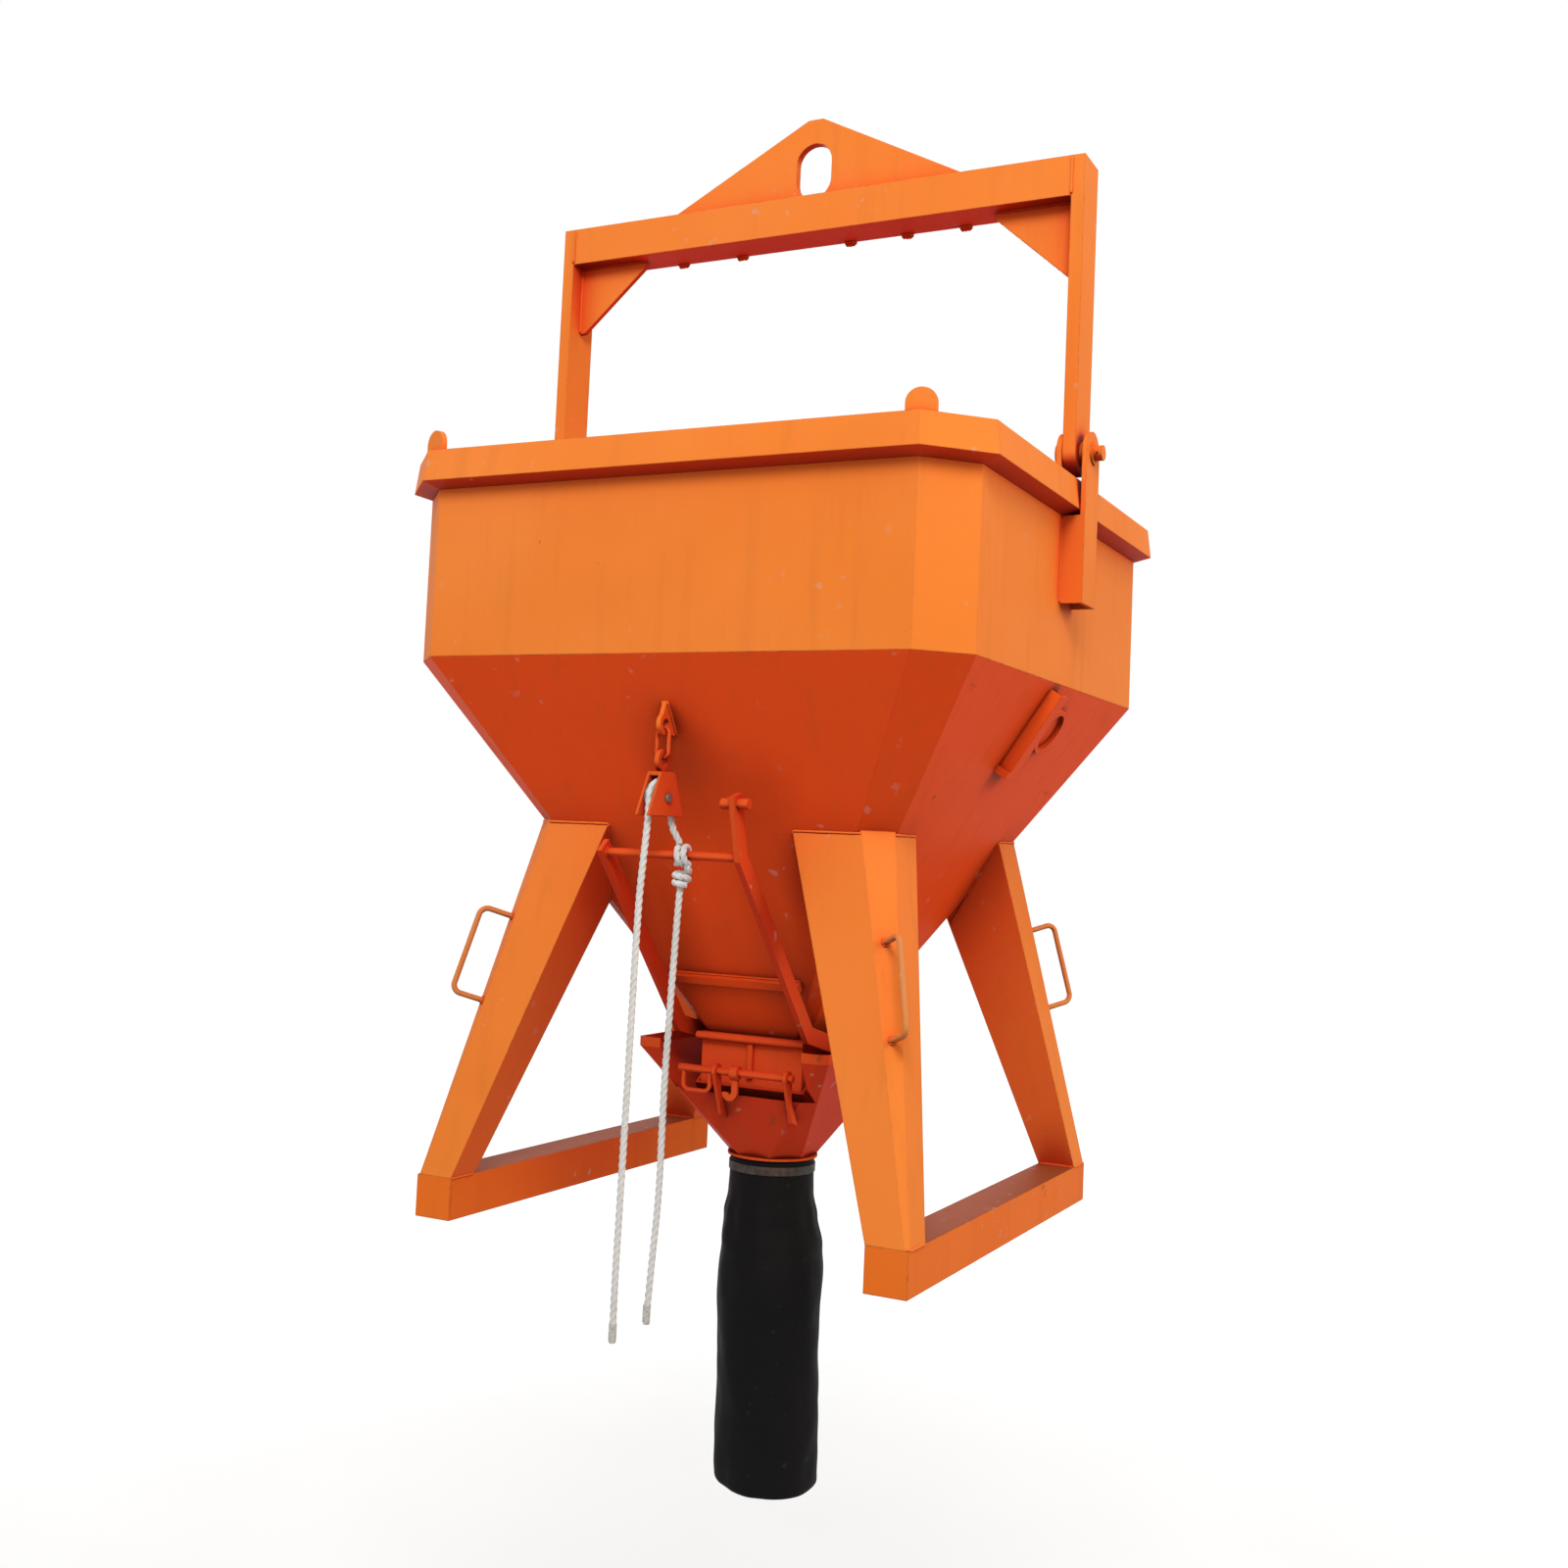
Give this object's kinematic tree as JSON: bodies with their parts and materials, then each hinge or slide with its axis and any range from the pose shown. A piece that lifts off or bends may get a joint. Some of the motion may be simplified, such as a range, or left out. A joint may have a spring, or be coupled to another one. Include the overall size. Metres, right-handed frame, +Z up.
{
  "type": "concrete_bucket",
  "caption": "Crane-slung concrete bucket in orange paint with a swinging bail, four braced legs, a lever-worked radial gate with pull ropes, and a black rubber discharge hose",
  "frame": {"origin": "the point where the crane hook bears, at the top of the slot in the lifting plate", "axes": "+Z up along the hanging line; +X along the bail beam; -Y to the front, where the lever and its ropes are"},
  "size_m": [1.392, 1.294, 3.0383],
  "materials": {
    "orange_paint": "semi-gloss orange paint on welded steel plate",
    "plain_steel": "bare or galvanised steel, dulled by weather",
    "hose_rubber": "matte black rubber",
    "white_rope": "white twisted rope"
  },
  "bodies": {
    "bail": {"lifting_plate": "orange_paint", "bail_beam": "orange_paint", "bail_arm_left": "orange_paint", "bail_arm_right": "orange_paint", "gussets": "orange_paint", "bail_bushes": "plain_steel"},
    "hopper": {"upper_box": "orange_paint", "hopper_cone": "orange_paint", "rim_channel": "orange_paint", "rim_lugs": "orange_paint", "bail_bracket_left": "orange_paint", "bail_bracket_right": "orange_paint", "inner_ears": "orange_paint", "bail_pins": "plain_steel", "pin_washers": "plain_steel", "pin_cotters": "plain_steel", "leg_front_left": "orange_paint", "leg_front_right": "orange_paint", "leg_rear_left": "orange_paint", "leg_rear_right": "orange_paint", "foot_rail_left": "orange_paint", "foot_rail_right": "orange_paint", "foot_caps": "orange_paint", "grab_handles": "orange_paint", "vibrator_rail": "orange_paint", "vibrator_seat": "orange_paint", "front_band": "orange_paint", "outlet_neck": "orange_paint", "neck_bar": "orange_paint", "trunnion_pins": "plain_steel", "trunnion_washers": "plain_steel", "trunnion_cotters": "plain_steel", "funnel_hangers": "orange_paint", "discharge_funnel": "orange_paint", "spigot": "plain_steel", "hose": "hose_rubber", "hose_clamp": "plain_steel", "clamp_bolt": "plain_steel", "latch_lugs": "orange_paint", "pad_eye": "orange_paint"},
    "gate": {"gate_sector": "orange_paint", "gate_cheeks": "orange_paint", "gate_hubs": "orange_paint", "lever_arm_left": "orange_paint", "lever_arm_right": "orange_paint", "lever_crossbar": "orange_paint", "lever_grip": "orange_paint", "rope_tail": "white_rope"},
    "opening_rope": {"rope_open": "white_rope"},
    "block": {"chain_link": "plain_steel", "swivel_eye": "plain_steel", "block_shell": "orange_paint", "sheave_pin": "plain_steel", "rope_close": "white_rope"},
    "sheave": {"sheave": "plain_steel"},
    "latch": {"latch_shaft": "orange_paint", "latch_hook": "orange_paint", "latch_handle": "orange_paint"}
  },
  "joints": [
    {"name": "bail_swing", "type": "hinge", "parent": "bail", "child": "hopper", "pos_m": [0, 0, -0.761], "axis": [1, 0, 0], "range_deg": [-82, 82]},
    {"name": "gate_hinge", "type": "hinge", "parent": "hopper", "child": "gate", "pos_m": [0, 0, -2.036], "axis": [1, 0, 0], "range_deg": [0, 40], "deforming": ["rope_close"]},
    {"name": "rope_swing", "type": "hinge", "parent": "gate", "child": "opening_rope", "pos_m": [0.025, -0.5, -1.631], "axis": [1, 0, 0], "range_deg": [-42, 2]},
    {"name": "block_swing", "type": "hinge", "parent": "hopper", "child": "block", "pos_m": [0, -0.5539, -1.37888], "axis": [1, 0, 0], "range_deg": [-6, 6], "deforming": ["rope_tail"]},
    {"name": "sheave_spin", "type": "hinge", "parent": "block", "child": "sheave", "pos_m": [0, -0.5539, -1.52125], "axis": [-0.9848, 0.1736, 0], "continuous": true},
    {"name": "latch_swing", "type": "hinge", "parent": "hopper", "child": "latch", "pos_m": [0, -0.19139, -2.086], "axis": [1, 0, 0], "range_deg": [-100, 0]}
  ],
  "couplings": [
    {"joint": "rope_swing", "follows": "gate_hinge", "ratio": -1}
  ]
}
